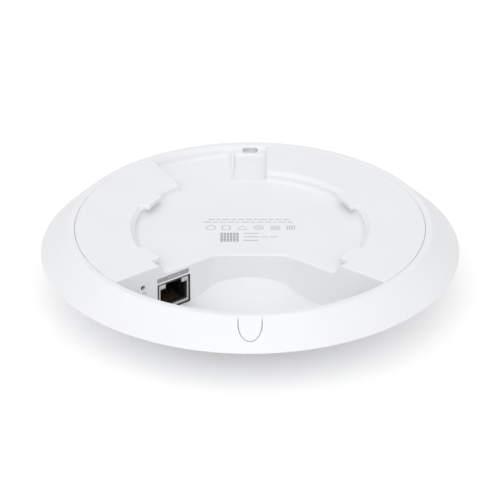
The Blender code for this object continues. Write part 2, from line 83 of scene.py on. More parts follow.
# The bay's left slanted wall has its own frame: x rightwards as seen from the bay, depth into
# the housing.
WALL_ORIGIN = (-13.3, -16.317)
WALL_TURN = math.atan2(BAY_BACK[1] - BAY_SIDE[1], BAY_SIDE[0] - BAY_BACK[0])
JACK_X0, JACK_X1 = -29.4, -14.4
JACK_Z0, JACK_Z1 = -20.95, -9.38
JACK_MID = (JACK_X0 + JACK_X1) / 2
JACK_HOLE = (JACK_X0 - 0.8, JACK_X1 + 0.66, JACK_Z0 - 0.62, JACK_Z1 + 0.58)
RESET_X, RESET_Z, RESET_R = -37.3, -7.5, 1.1


# ------------------------------------------------------------------ outlines
def polar(radius, degrees, x=0.0, y=0.0):
    angle = math.radians(degrees)
    return x + radius * math.cos(angle), y + radius * math.sin(angle)


def sweep(radius, start, end, count, end_radius=None, centre=(0.0, 0.0)):
    """An arc in `count` steps whose radius may change evenly on the way."""
    change = 0.0 if end_radius is None else end_radius - radius
    return [polar(radius + change * i / count, start + (end - start) * i / count, *centre)
            for i in range(count + 1)]


def arc(radius, start, end, step=1.5, centre=(0.0, 0.0)):
    """An arc with points about `step` degrees apart."""
    count = int(abs(end - start) / step + 0.5)
    return sweep(radius, start, end, count, centre=centre)


def circle(x, y, radius, count):
    return [(x + radius * math.cos(2 * math.pi * i / count),
             y + radius * math.sin(2 * math.pi * i / count)) for i in range(count)]


def box(x0, x1, y0, y1):
    return [(x0, y0), (x1, y0), (x1, y1), (x0, y1)]


def about(centre, half):
    return centre - half, centre + half


def area(points):
    return 0.5 * sum(a[0] * b[1] - b[0] * a[1] for a, b in zip(points, points[1:] + points[:1]))


def turns(points):
    """How far the outline turns at each point, in degrees; left is positive."""
    out = []
    for i, point in enumerate(points):
        before = Vector(point) - Vector(points[i - 1])
        after = Vector(points[(i + 1) % len(points)]) - Vector(point)
        cross = before.x * after.y - before.y * after.x
        out.append(math.degrees(math.atan2(cross, before.dot(after))))
    return out


def bend(corner, back, ahead, turn, reach, radius, steps):
    """Arc that rounds a corner; back and ahead are unit vectors along its two sides."""
    centre = corner + (back + ahead).normalized() * (radius / math.cos(turn / 2))
    start, end = corner + back * reach, corner + ahead * reach
    return [tuple(centre + (start.lerp(end, k / steps) - centre).normalized() * radius)
            for k in range(steps + 1)]


def round_corner(before, corner, after, radius, steps=5):
    before, corner, after = Vector(before), Vector(corner), Vector(after)
    back, ahead = (before - corner).normalized(), (after - corner).normalized()
    turn = math.pi - back.angle(ahead)
    return bend(corner, back, ahead, turn, radius * math.tan(turn / 2), radius, steps)


def fillet(points, radius, grown, corners, steps=5):
    """Rounds the corners that turn more than 20 degrees.

    The outline has been moved outwards by `grown`, so corners that stick out get a radius that
    much larger and those that reach in one that much smaller.
    """
    out = []
    for i, point in enumerate(points):
        if abs(corners[i]) < 20.0:
            out.append(point)
            continue
        corner = Vector(point)
        back = Vector(points[i - 1]) - corner
        ahead = Vector(points[(i + 1) % len(points)]) - corner
        back_length, ahead_length = back.length, ahead.length
        back, ahead = back / back_length, ahead / ahead_length
        turn = max(0.02, math.pi - back.angle(ahead))
        wanted = max(0.04, radius + grown if corners[i] > 0 else radius - grown)
        reach = min(wanted * math.tan(turn / 2), 0.45 * back_length, 0.45 * ahead_length)
        out += bend(corner, back, ahead, turn, reach, reach / math.tan(turn / 2), steps)
    return out


def offset(points, distance):
    """Moves a counter-clockwise outline outwards, mitred."""
    if abs(distance) < 1e-9:
        return list(points)
    out = []
    for i, point in enumerate(points):
        before, corner = Vector(points[i - 1]), Vector(point)
        after = Vector(points[(i + 1) % len(points)])
        side_in, side_out = (corner - before).normalized(), (after - corner).normalized()
        normal_in = Vector((side_in.y, -side_in.x))
        normal_out = Vector((side_out.y, -side_out.x))
        mitre = distance / max(0.35, 1 + normal_in.dot(normal_out))
        out.append(tuple(corner + (normal_in + normal_out) * mitre))
    return out


def quarter(steps):
    """sin and 1 - cos over a quarter turn."""
    angles = [math.pi / 2 * k / steps for k in range(steps + 1)]
    return [(math.sin(angle), 1 - math.cos(angle)) for angle in angles]


def flare(z, size):
    """Levels that open a cut outwards below z, as a rounded edge."""
    return [(z - size + size * rise, size * out) for rise, out in quarter(4)]


def root(z, size):
    """Levels that draw a cut in at its floor z, as a rounded inside corner."""
    return [(z + size * up, -size + size * out) for out, up in quarter(7)]


# ------------------------------------------------------------------ placing drawn points
def in_plan(x, y, z):
    return (x, y, z)


def along_y(x, z, y):
    return (x, y, z)


def on_wall(x, z, depth):
    """From the bay's left wall to the body."""
    sine, cosine = math.sin(WALL_TURN), math.cos(WALL_TURN)
    return (WALL_ORIGIN[0] + cosine * x - sine * depth,
            WALL_ORIGIN[1] + sine * x + cosine * depth, z)


def off_wall(x, z, proud):
    return on_wall(x, z, -proud)


# ------------------------------------------------------------------ meshes
def close(bm, name):
    bmesh.ops.remove_doubles(bm, verts=bm.verts, dist=1e-4)
    bmesh.ops.recalc_face_normals(bm, faces=bm.faces)
    mesh = bpy.data.meshes.new(name)
    bm.to_mesh(mesh)
    bm.free()
    obj = bpy.data.objects.new(name, mesh)
    SCENE.collection.objects.link(obj)
    return obj


def loft(rings, name="tool"):
    """A capped solid through rings of equally many points."""
    bm = bmesh.new()
    made = [[bm.verts.new(point) for point in ring] for ring in rings]
    count = len(made[0])
    for low, high in zip(made, made[1:]):
        for i in range(count):
            j = (i + 1) % count
            bm.faces.new((low[i], low[j], high[j], high[i]))
    bm.faces.new(made[0])
    bm.faces.new(made[-1])
    return close(bm, name)


def stack(points, levels, place=in_plan, r=0.0, steps=5, name="tool"):
    """A column on an outline with corners rounded by r; levels are (height, outward offset)."""
    if area(points) < 0:
        points = points[::-1]
    corners = turns(points)
    rings = []
    for height, out in levels:
        line = offset(points, out)
        if r:
            line = fillet(line, r, out, corners, steps)
        rings.append([place(x, y, height) for x, y in line])
    return loft(rings, name)


def wall_block(outline, levels, r=0.0, name="tool"):
    """A column that runs into the bay's left wall; levels are (depth, outward offset)."""
    return stack(outline, levels, on_wall, r=r, name=name)


def revolve(profile, steps, phase=0.0, name="tool"):
    """Turns a closed (radius, z) profile about the centre axis."""
    bm = bmesh.new()
    rings = []
    for r, z in profile:
        if r < 1e-6:
            rings.append([bm.verts.new((0.0, 0.0, z))])
            continue
        angles = [2 * math.pi * i / steps + phase for i in range(steps)]
        rings.append([bm.verts.new((r * math.cos(a), r * math.sin(a), z)) for a in angles])
    for k, ring in enumerate(rings):
        following = rings[(k + 1) % len(rings)]
        if len(ring) == 1 and len(following) == 1:
            continue
        for i in range(steps):
            j = (i + 1) % steps
            if len(ring) == 1:
                bm.faces.new((ring[0], following[j], following[i]))
            elif len(following) == 1:
                bm.faces.new((ring[i], ring[j], following[0]))
            else:
                bm.faces.new((ring[i], ring[j], following[j], following[i]))
    return close(bm, name)


def combine(obj, tool, operation):
    """Applies a boolean and removes the tool."""
    mod = obj.modifiers.new("boolean", "BOOLEAN")
    mod.operation, mod.solver, mod.object = operation, "EXACT", tool
    bpy.context.view_layer.update()
    evaluated = obj.evaluated_get(bpy.context.evaluated_depsgraph_get())
    done = bpy.data.meshes.new_from_object(evaluated)
    obj.modifiers.clear()
    old = obj.data
    obj.data = done
    bpy.data.meshes.remove(old)
    bpy.data.objects.remove(tool, do_unlink=True)


def cut(obj, tool):
    combine(obj, tool, "DIFFERENCE")


def add(obj, tool):
    combine(obj, tool, "UNION")


def trim(obj, tool):
    combine(obj, tool, "INTERSECT")


def settle(obj, material, stands_for=None, body="housing", angle=34.0, weighted=True,
           shape=in_plan):
    """`shape` may move points while they are still in mm."""
    mesh = obj.data
    bm = bmesh.new()
    bm.from_mesh(mesh)
    bmesh.ops.remove_doubles(bm, verts=bm.verts, dist=2e-4)
    bmesh.ops.dissolve_degenerate(bm, dist=2e-4, edges=bm.edges)
    for vert in bm.verts:
        x, y, z = shape(*vert.co)
        vert.co = (x * 0.001, y * 0.001, (z + HEIGHT) * 0.001)
    bm.to_mesh(mesh)
    bm.free()
    mesh.materials.clear()
    mesh.materials.append(material)
    mesh.shade_smooth()
    mesh.set_sharp_from_angle(angle=math.radians(angle))
    if weighted:
        mod = obj.modifiers.new("flat_faces_lead", "WEIGHTED_NORMAL")
        mod.keep_sharp, mod.weight = True, 60
    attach(obj, body)
    if stands_for:
        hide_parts(stands_for)


# ------------------------------------------------------------------ materials
def is_socket(value):
    return isinstance(value, bpy.types.NodeSocket)


def feed(tree, node, inputs):
    """Links the inputs given as sockets and sets the others."""
    for key, value in inputs.items():
        if is_socket(value):
            tree.links.new(value, node.inputs[key])
        else:
            node.inputs[key].default_value = value


def add_node(tree, kind, inputs, **settings):
    node = tree.nodes.new("ShaderNode" + kind)
    for key, value in settings.items():
        setattr(node, key, value)
    feed(tree, node, inputs)
    return node


class Paint:
    """A Principled material; its textures use object coordinates, in metres."""

    def __init__(self, name):
        self.material = bpy.data.materials.new(name)
        self.material.use_nodes = True
        self.tree = self.material.node_tree
        self.shader = self.tree.nodes["Principled BSDF"]
        self.place = add_node(self.tree, "TexCoord", {}).outputs["Object"]

    def put(self, inputs):
        feed(self.tree, self.shader, inputs)

    def noise(self, scale, detail=3.0, rough=0.5, stretch=None):
        place = self.place
        if stretch:
            mapping = add_node(self.tree, "Mapping", {"Scale": stretch, "Vector": place})
            place = mapping.outputs["Vector"]
        inputs = {"Scale": scale, "Detail": detail, "Roughness": rough, "Vector": place}
        return add_node(self.tree, "TexNoise", inputs).outputs["Fac"]

    def ranged(self, value, low, high):
        """Spreads the middle of a noise, 0.3 to 0.7, over low to high."""
        inputs = {"From Min": 0.3, "From Max": 0.7, "To Min": low, "To Max": high,
                  "Value": value}
        return add_node(self.tree, "MapRange", inputs).outputs["Result"]

    def colour(self, noise, low, high):
        """Base colour that wanders from low, a colour or a socket, to high."""
        inputs = {"Factor": self.ranged(noise, 0.0, 1.0),
                  6: low if is_socket(low) else (*low, 1.0),
                  7: (*high, 1.0)}
        mix = add_node(self.tree, "Mix", inputs, data_type="RGBA")
        self.put({"Base Color": mix.outputs[2]})

    def roughness(self, noise, low, high):
        self.put({"Roughness": self.ranged(noise, low, high)})

    def bump(self, height, strength, distance, under=None):
        inputs = {"Strength": strength, "Distance": distance, "Height": height}
        if under:
            inputs["Normal"] = under
        normal = add_node(self.tree, "Bump", inputs).outputs["Normal"]
        self.put({"Normal": normal})
        return normal


def moulded(name, colour, rough, grain=2600.0, depth=0.000012, drift=0.012):
    """Moulded plastic: fine grain, faint mottling, and roughness that wanders a little."""
    paint = Paint(name)
    paint.colour(paint.noise(scale=38.0, detail=2.0),
                 low=tuple(c * (1 - drift) for c in colour),
                 high=tuple(c * (1 + drift) for c in colour))
    paint.roughness(paint.noise(scale=420.0), low=rough - 0.05, high=rough + 0.06)
    fine = paint.bump(paint.noise(scale=grain, detail=2.0, rough=0.6),
                      strength=0.35, distance=depth)
    paint.bump(paint.noise(scale=grain * 0.33, detail=2.0),
               strength=0.2, distance=depth * 2, under=fine)
    return paint.material


def sheet_metal(name, colour, rough, brushed=(1.0, 1.0, 14.0), grain=900.0, metal=1.0):
    """Metal with lines drawn out by `brushed`, the noise's scale along each axis."""
    paint = Paint(name)
    paint.put({"Metallic": metal})
    lines = paint.noise(scale=grain, rough=0.6, stretch=brushed)
    paint.colour(paint.noise(scale=160.0, detail=4.0),
                 low=tuple(c * 0.86 for c in colour), high=colour)
    paint.roughness(lines, low=rough - 0.07, high=rough + 0.1)
    paint.bump(lines, strength=0.4, distance=0.000006)
    return paint.material


def board_mask(name):
    """Green solder mask with a faint pattern of lines under it."""
    paint = Paint(name)
    tracks = add_node(paint.tree, "TexBrick", {
        "Scale": 260.0, "Mortar Size": 0.03, "Vector": paint.place,
        "Color1": (0.012, 0.085, 0.04, 1), "Color2": (0.016, 0.11, 0.05, 1),
        "Mortar": (0.035, 0.17, 0.075, 1)})
    paint.colour(paint.noise(scale=90.0), low=tracks.outputs["Color"], high=(0.014, 0.1, 0.046))
    paint.roughness(paint.noise(scale=500.0), low=0.28, high=0.42)
    paint.bump(tracks.outputs["Fac"], strength=0.3, distance=0.00003)
    return paint.material


def clear_plastic(name):
    paint = Paint(name)
    paint.colour(paint.noise(scale=300.0), low=(0.77, 0.78, 0.78), high=(0.86, 0.86, 0.86))
    paint.put({"Transmission Weight": 0.25, "Subsurface Weight": 0.3,
               "Subsurface Radius": (0.002, 0.002, 0.002)})
    paint.roughness(paint.noise(scale=800.0), low=0.18, high=0.32)
    paint.bump(paint.noise(scale=1500.0), strength=0.2, distance=0.00001)
    return paint.material


PRINT_LOOK = dict(rough=0.6, grain=5200.0, depth=0.000004, drift=0.06)
shell_white = moulded("moulded_white_shell", (0.815, 0.823, 0.838), rough=0.46)
bezel_white = moulded("moulded_white_bezel", (0.815, 0.823, 0.835), rough=0.44)
dome_white = moulded("moulded_white_dome", (0.822, 0.829, 0.838), rough=0.40, grain=2200.0,
                     depth=0.000008)
plug_white = moulded("moulded_white_plug", (0.812, 0.820, 0.835), rough=0.47)
print_grey = moulded("pad_print_grey", (0.50, 0.505, 0.52), **PRINT_LOOK)
print_dark = moulded("pad_print_dark", (0.33, 0.335, 0.35), **PRINT_LOOK)
print_pale = moulded("pad_print_pale", (0.55, 0.555, 0.565), **PRINT_LOOK)
label_grey = moulded("film_label_grey", (0.34, 0.345, 0.355), rough=0.5, grain=4200.0,
                     depth=0.000006, drift=0.05)
nickel = sheet_metal("nickel_sheet", (0.68, 0.68, 0.685), rough=0.34, metal=0.75)
black = moulded("black_pbt", (0.012, 0.012, 0.013), rough=0.5, grain=1800.0, drift=0.2)
gold = sheet_metal("gold_flash", (0.28, 0.19, 0.10), rough=0.42, grain=2500.0)
milky = clear_plastic("milky_light_pipe")
paints = {
    "shield_nickel": nickel,
    "insulator_black": black,
    "contact_gold": gold,
    "light_pipe": milky,
    "label_grey": label_grey,
    "board": board_mask("solder_mask"),
    "chip": moulded("epoxy_package", (0.022, 0.022, 0.024), rough=0.5, grain=3000.0,
                    depth=0.00001, drift=0.15),
    "tin_can": sheet_metal("tin_plate", (0.66, 0.66, 0.64), rough=0.3,
                           brushed=(1.0, 10.0, 1.0)),
    "aluminium": sheet_metal("rolled_aluminium", (0.78, 0.79, 0.8), rough=0.36,
                             brushed=(12.0, 1.0, 1.0)),
    "thermal_pad": moulded("silicone_pad", (0.30, 0.36, 0.44), rough=0.8, grain=1400.0,
                           depth=0.00003, drift=0.08),
    "antenna_tin": sheet_metal("tinned_brass", (0.72, 0.67, 0.56), rough=0.3,
                               brushed=(10.0, 1.0, 1.0)),
    "screw_steel": sheet_metal("zinc_plate", (0.56, 0.57, 0.58), rough=0.28,
                               brushed=(1.0, 1.0, 1.0), grain=1600.0),
    "ferrite": moulded("sintered_ferrite", (0.06, 0.06, 0.065), rough=0.68, grain=1600.0,
                       depth=0.00003, drift=0.2),
    "winding_tape": moulded("polyester_tape", (0.62, 0.46, 0.06), rough=0.34, grain=1200.0,
                            depth=0.00001, drift=0.08),
    "capacitor_sleeve": moulded("shrink_sleeve", (0.03, 0.04, 0.085), rough=0.36,
                                grain=1500.0, drift=0.1),
    "button_black": black,
    "shell_white": shell_white,
    "dome_white": dome_white,
    "plug_white": plug_white,
}
slot_of = {row["node"]: row["material_slot"] for row in frame["record"]["subparts"]}
for node_name, cad_piece in frame["nodes"].items():
    cad_piece.data.materials.clear()
    cad_piece.data.materials.append(paints[slot_of[node_name]])


# ------------------------------------------------------------------ back cover
COVER_EDGE_R = 0.35
T_BAY_FLOOR = 1.6
COVER_SLOT, COVER_SLOT_R = (-3.25, 3.35, -3.15, -0.85), 1.05     # x0, x1, z0, z1
WALL_EDGE_R = 0.6           # rounding of the recess wall's top edge
# heights of the rings that make the recess' upper part
WALL_LEVELS = (-T_LUG - 0.08, CHAMFER_Z, -1.0, -0.6, -0.45, -0.3, -0.2, -0.12, -0.05, 0.0)


def bay_outline(grow, reach):
    """The bay in plan, moved out by `grow`, with slanted walls `reach` longer than drawn."""
    along_x, along_y_ = BAY_SIDE[0] - BAY_BACK[0], BAY_SIDE[1] - BAY_BACK[1]
    length = math.hypot(along_x, along_y_)
    along_x, along_y_ = along_x / length, along_y_ / length
    half = math.atan2(-along_y_, along_x) / 2
    centre = (BAY_BACK[0] - BAY_CORNER_R * math.tan(half), BAY_BACK[1] - BAY_CORNER_R)
    right = arc(BAY_CORNER_R + grow, 90, 90 - math.degrees(2 * half), 3.0, centre)
    end_x = BAY_SIDE[0] + along_x * reach - along_y_ * grow
    end_y = BAY_SIDE[1] + along_y_ * reach + along_x * grow
    right += [(end_x, end_y), (end_x, -95.0)]
    return [(-x, y) for x, y in right][::-1] + right


def smooth_floor(step=1.5):
    """The bay floor's profile, with a soft curve between its stations."""
    out = []
    for i in range(1, len(BAY_FLOOR) - 2):
        (xa, ya), (xb, yb), (xc, yc), (xd, yd) = BAY_FLOOR[i - 1:i + 3]
        slope_b = 0.0 if yb == Z_BAY else (yc - ya) / (xc - xa)
        slope_c = 0.0 if yc == Z_BAY else (yd - yb) / (xd - xb)
        width = xc - xb
        count = max(1, int(width / step))
        for k in range(count):
            t = k / count
            out.append((xb + width * t,
                        (2 * t**3 - 3 * t**2 + 1) * yb
                        + (t**3 - 2 * t**2 + t) * width * slope_b
                        + (-2 * t**3 + 3 * t**2) * yc
                        + (t**3 - t**2) * width * slope_c))
    return [BAY_FLOOR[0], *out, *BAY_FLOOR[-2:]]


def slant_angle(radius):
    """Angle at which the slanted edge meets a circle about the centre axis."""
    (x, y), (way_x, way_y) = SLANT_POINT, SLANT_WAY
    half = x * way_x + y * way_y
    run = -half + math.sqrt(half * half - (x * x + y * y) + radius * radius)
    return math.degrees(math.atan2(y + way_y * run, x + way_x * run))


def recess_outline(with_lugs, radius, near_radius, lining=R_LINING):
    """Bracket recess: a circle, a little wider beside the bay, with or without its four lugs.

    At the far side is an open sector between the channel's right wall and the slanted edge.
    The number of points doesn't depend on the radii, so outlines can be lofted together.
    """
    far_left, far_right, near_left, near_right = LUGS

    def lug(span):
        return sweep(span[2], span[0], span[1], 7)

    channel = math.degrees(math.acos(CHANNEL_R / radius))
    slant = slant_angle(radius)
    sector = sweep(lining, math.degrees(math.acos(CHANNEL_R / lining)), slant_angle(lining), 12)
    near_wall = sweep(near_radius, near_left[1], near_right[0], 53)
    if with_lugs:
        return (sweep(radius, near_right[1] - 360, far_right[0], 22) + lug(far_right)
                + sweep(radius, far_right[1], channel, 20) + sector
                + sweep(radius, slant, far_left[0], 7) + lug(far_left)
                + sweep(radius, far_left[1], near_left[0], 22) + lug(near_left)
                + near_wall + lug(near_right))
    return (sweep(radius, near_right[1] - 360, channel, 50) + sector
            + sweep(radius, slant, near_left[0], 36)
            + sweep(radius, near_left[0] + 2, near_left[1] - 2, 5, near_radius)
            + near_wall
            + sweep(near_radius, near_right[0] + 2, near_right[1] - 2, 5, radius))


def upper_recess():
    """The recess above the lugs' underside.

    Lugs stay put, the wall between them leans back, and every top edge is rounded.
    """
    corners = turns(recess_outline(True, R_RECESS, R_RECESS_NEAR))
    rings = []
    for z in WALL_LEVELS:
        back = CHAMFER * max(0.0, z - CHAMFER_Z) / -CHAMFER_Z
        rise = max(0.0, z + WALL_EDGE_R) / WALL_EDGE_R
        out = WALL_EDGE_R * (1 - math.sqrt(1 - rise * rise))
        leant = LEAN * (1 - min(1.0, max(0.0, z + T_LUG) / 1.3))
        shift = -CHAMFER + back - 0.75 * out     # the lean takes up part of the rounding
        line = recess_outline(True, R_RECESS + shift, R_RECESS_NEAR + shift, R_LINING - leant)
        line = fillet(offset(line, out), 0.8, out, corners)
        rings.append([(x, y, z) for x, y in line])
    rings.append([(x, y, 3.0) for x, y in line])
    return loft(rings)


def add_floors(cover):
    """Thickens the plate under the round recess and under its open sector."""
    low = Z_RECESS - T_FLOOR
    add(cover, stack(arc(R_RECESS_NEAR + T_FLOOR, 0, 358.0, 2.0), [(low, 0), (-1.0, 0)]))
    inner_end = math.degrees(math.atan2(37, -30)) + 3.0
    outer_end = math.degrees(math.atan2(59, -41.7)) + 2.2
    sector = arc(74.5, 81.5, outer_end, 2) + arc(45.0, inner_end, 77.0, 3)
    add(cover, stack(sector, [(low + 0.03, 0), (-1.1, 0)]))


def make_bay(cover, outline):
    """Adds the bay's tub and hollows it down to its curved floor."""
    floor_line = smooth_floor()
    edge_z = floor_line[-1][1]
    tub = stack(bay_outline(T_FLOOR, 14.0), [(-26.0, 0), (-1.2, 0)])
    under = [(0.0, -40.0)] + [(r, z - T_BAY_FLOOR) for r, z in floor_line]
    under += [(90.0, edge_z - T_BAY_FLOOR), (90.0, -40.0)]
    cut(tub, revolve(under, 160, phase=0.011))
    add(cover, tub)
    hollow = stack(outline, [(-27.0, 0)] + flare(0.0, 0.5) + [(3.0, 0.5)])
    under = [(0.0, -45.0)] + floor_line + [(95.0, edge_z), (95.0, -45.0)]
    cut(hollow, revolve(under, 180, phase=0.0077))
    cut(cover, hollow)


def cut_recess(cover, bay):
    low_line = recess_outline(False, R_RECESS - CHAMFER, R_RECESS_NEAR - CHAMFER,
                              R_LINING - LEAN)
    cut(cover, stack(low_line, root(Z_RECESS, ROOT) + [(-T_LUG, 0)], r=RECESS_CORNER_R))
    cut(cover, upper_recess())
    # rounded top edge where the bay breaks through the recess floor
    lip = stack(bay, flare(Z_RECESS, 1.0) + [(-2.6, 1.0)])
    trim(lip, stack(low_line, [(-12.0, -2.05), (3.0, -2.05)], r=RECESS_CORNER_R))
    cut(cover, lip)


def rib(outline, top, foot, edge, r):
    """A raised rib: filleted foot on the recess floor, rounded top edge."""
    levels = [(Z_RECESS - 0.7, foot)]
    levels += [(Z_RECESS + foot * up, foot * (1 - sine)) for sine, up in quarter(5)]
    levels += [(top - edge + edge * sine, -edge * drawn) for sine, drawn in quarter(3)]
    return stack(outline, levels, r=r)


def add_channel_ribs(cover):
    """Left rib against the lining, a low kerb nearer the bay, and the kerb across the end."""
    left = CHANNEL_L
    add(cover, rib(box(left - RIB_W, left, RIB_Y0, 71.0),
                   RIB_TOP, foot=1.1, edge=0.25, r=0.4))
    add(cover, rib(box(left - 0.75, left - 0.05, 47.1, RIB_Y0 + 0.7),
                   top=-3.72, foot=0.5, edge=0.15, r=0.2))
    add(cover, rib(box(left - 0.3, CHANNEL_R + 0.4, 46.75, 47.35),
                   top=-4.08, foot=0.25, edge=0.12, r=0.15))


def make_cover():
    cover = stack(arc(R_COVER + 3, 0, 358.5), [(-T_PLATE, 0), (0.0, 0)], name="cover_shell")
    bay = bay_outline(0.0, 20.0)
    add_floors(cover)
    make_bay(cover, bay)
    cut_recess(cover, bay)
    add_channel_ribs(cover)
    cut(cover, stack(box(*COVER_SLOT), [(66.0, 0), (74.6, 0)], along_y, r=COVER_SLOT_R,
                     steps=6))
    # trims the cover to its round outline, with a rounded back edge
    keep = [(0.0, -40.0), (R_COVER, -40.0)]
    keep += [(R_COVER - COVER_EDGE_R * drawn, -COVER_EDGE_R + COVER_EDGE_R * sine)
             for sine, drawn in quarter(4)]
    keep += [(R_COVER - COVER_EDGE_R, 6.0), (0.0, 6.0)]
    trim(cover, revolve(keep, 240))
    cut(cover, wall_block(box(*JACK_HOLE), [(-1.0, 0), (3.4, 0)], r=0.5))
    reset_levels = [(-1.2, 0.06), (0.0, 0.06), (0.02, 0.03), (0.06, 0.0), (3.6, 0)]
    cut(cover, wall_block(circle(RESET_X, RESET_Z, RESET_R, 32), reset_levels))
    settle(cover, shell_white, "back_cover", angle=30.0)


# ------------------------------------------------------------------ rear bezel and notch plug
R_SKIRT, Z_SKIRT = 73.2, -15.2
NOTCH_HALF, NOTCH_Z, PLUG_GAP = 4.85, -2.6, 0.3
BEZEL_SLOT, BEZEL_SLOT_R = (-3.15, 3.25, -3.05, -0.95), 0.95     # x0, x1, z0, z1
CONE_TOP, CONE_POINT = (74.4, 0.0), (85.2, -10.2)                # the cone's line: radius, z
CONE_END = (R_OUT, -10.47)


def shell_section(low_z, rim):
    """Inner skirt down to low_z, rounded lip, start of the cone, `rim`, and the inside."""
    lip = (R_BEZEL_IN, 0.0)
    return ([(R_BEZEL_IN, low_z)]
            + round_corner((R_BEZEL_IN, -6.0), lip, CONE_TOP, 0.55)
            + round_corner(lip, CONE_TOP, CONE_POINT, 1.3)
            + rim + [(R_SKIRT + 0.9, -3.1), (R_SKIRT, -3.6), (R_SKIRT, low_z)])


def notch_block(half):
    """U-shaped column through the bezel's near side."""
    outline = [(half, 4.0), (-half, 4.0)]
    for degrees in range(0, 181, 6):
        angle = math.radians(degrees)
        outline.append((-half * math.cos(angle), NOTCH_Z - half * math.sin(angle)))
    return stack(outline, [(-95.0, 0), (-60.0, 0)], along_y)


def make_bezel():
    rim = round_corner((80.0, -5.28), CONE_END, (R_OUT, -10.7), 0.22, 4)
    rim += round_corner((R_OUT, -10.55), (R_OUT, Z_SEAM), (84.0, Z_SEAM), 0.12, 3)
    rim += [(82.2, Z_SEAM)]
    bezel = revolve(shell_section(Z_SKIRT, rim), 288, name="bezel_shell")
    cut(bezel, notch_block(NOTCH_HALF))
    cut(bezel, stack(box(*BEZEL_SLOT), [(69.0, 0), (72.45, 0)], along_y, r=BEZEL_SLOT_R,
                     steps=6))
    settle(bezel, bezel_white, "rear_bezel")


def make_notch_plug():
    section = shell_section(-9.0, [(84.0, -9.06), (82.0, -9.4)])
    plug = revolve(section, 288, name="notch_plug_cap")
    trim(plug, notch_block(NOTCH_HALF - PLUG_GAP))
    settle(plug, plug_white, "cable_notch_plug", body="notch_plug")


# ------------------------------------------------------------------ front dome and its lens
R_CAP, Z_CAP, CAP_POWER = 84.0, -11.75, 2.1
WALL_DOME = 1.8
LENS_X, LENS_Y, LENS_R, LENS_GAP = 0.0, 52.0, 2.1, 0.3
# dome rim from the seam outwards and down: radius, z
DOME_RIM = [(84.2, -10.84), (84.5, -10.87), (84.66, -11.0), (84.7, -11.15), (84.6, -11.3)]


def cap_z(radius, inset=0.0):
    return -HEIGHT + inset + (Z_CAP + HEIGHT) * (radius / R_CAP) ** CAP_POWER


LENS_TIP = cap_z(LENS_Y)


def make_dome():
    outer_radii = [R_CAP - 0.5 * k for k in range(4)] + [81.4 - 2.2 * k for k in range(37)]
    inner_radii = [4.0 + 4.0 * k for k in range(19)] + [79.0]
    profile = DOME_RIM + [(r, cap_z(r)) for r in outer_radii]
    profile += [(0.0, -HEIGHT), (0.0, -HEIGHT + WALL_DOME)]
    profile += [(r, cap_z(r, WALL_DOME)) for r in inner_radii]
    profile += [(82.2, -11.6), (82.2, -10.84)]
    dome = revolve(profile, 288, name="dome_shell")
    cut(dome, stack(circle(LENS_X, LENS_Y, LENS_R + LENS_GAP, 40), [(-40, 0), (-15, 0)]))
    settle(dome, dome_white, "front_dome")


def follow_cap(x, y, z):
    """Bends the lens' tip to the dome's curve."""
    if z < LENS_TIP + 0.6:
        z += cap_z(math.hypot(x, y)) - LENS_TIP
    return (x, y, z)


def make_lens():
    tip = LENS_TIP
    levels = [(tip + 0.02, -0.5), (tip + 0.06, -0.25), (tip + 0.18, -0.08), (tip + 0.4, 0.0),
              (-12.4, 0)]
    lens = stack(circle(LENS_X, LENS_Y, LENS_R, 40), levels, name="status_lens_rod")
    settle(lens, milky, "status_light_pipe", shape=follow_cap)


# ------------------------------------------------------------------ network jack
JACK_DEEP = 18.6
JACK_R = 0.45               # the shield's corner radius
MOUTH_HALF, LATCH_HALF = 6.7, 3.9
MOUTH_Z0, MOUTH_Z1 = -19.75, -11.55
LAMPS = (("left", JACK_MID - 5.55), ("right", JACK_MID + 5.55))
CONTACT_PITCH = 1.02
# centre line of a contact spring: depth, z
SPRING_LINE = ((2.1, -19.25), (4.0, -18.45), (6.0, -17.6), (8.0, -16.78), (8.8, -16.48),
               (9.3, -16.42), (9.8, -16.55), (10.3, -16.78))
SPRING_HALF_W, SPRING_HALF_T, SPRING_CHAMFER = 0.23, 0.17, 0.06


def mid_box(half, z0, z1, centre=JACK_MID):
    return box(*about(centre, half), z0, z1)


def make_shield():
    shield = wall_block(box(JACK_X0, JACK_X1, JACK_Z0, JACK_Z1),
                        [(0.2, -0.28), (0.24, -0.16), (0.34, -0.05), (0.5, 0.0),
                         (JACK_DEEP, 0.0)], r=JACK_R, name="jack_shield_shell")
    inside = box(JACK_X0 + 0.35, JACK_X1 - 0.35, JACK_Z0 + 0.35, JACK_Z1 - 0.35)
    cut(shield, wall_block(inside, [(0.6, 0), (JACK_DEEP + 2, 0)], r=0.3))
    mouth_x0, mouth_x1 = about(JACK_MID, MOUTH_HALF)
    latch_x0, latch_x1 = about(JACK_MID, LATCH_HALF)
    top = JACK_Z1 - 0.2
    opening = [(mouth_x0, MOUTH_Z0), (mouth_x1, MOUTH_Z0), (mouth_x1, MOUTH_Z1),
               (latch_x1, MOUTH_Z1), (latch_x1, top), (latch_x0, top),
               (latch_x0, MOUTH_Z1), (mouth_x0, MOUTH_Z1)]
    cut(shield, wall_block(opening, [(-1.0, 0.1), (0.2, 0.1), (0.26, 0.05), (0.36, 0.0),
                                     (1.5, 0)], r=0.25))
    # lip below the opening
    add(shield, wall_block(mid_box(MOUTH_HALF - 0.1, -20.75, -19.95), [(0.5, 0), (3.4, 0)],
                           r=0.15))
    for _, x in LAMPS:
        cut(shield, wall_block(mid_box(1.6, -11.28, -9.74, x), [(-0.9, 0), (1.4, 0)], r=0.25))
    settle(shield, nickel, "jack_shield", angle=30.0)


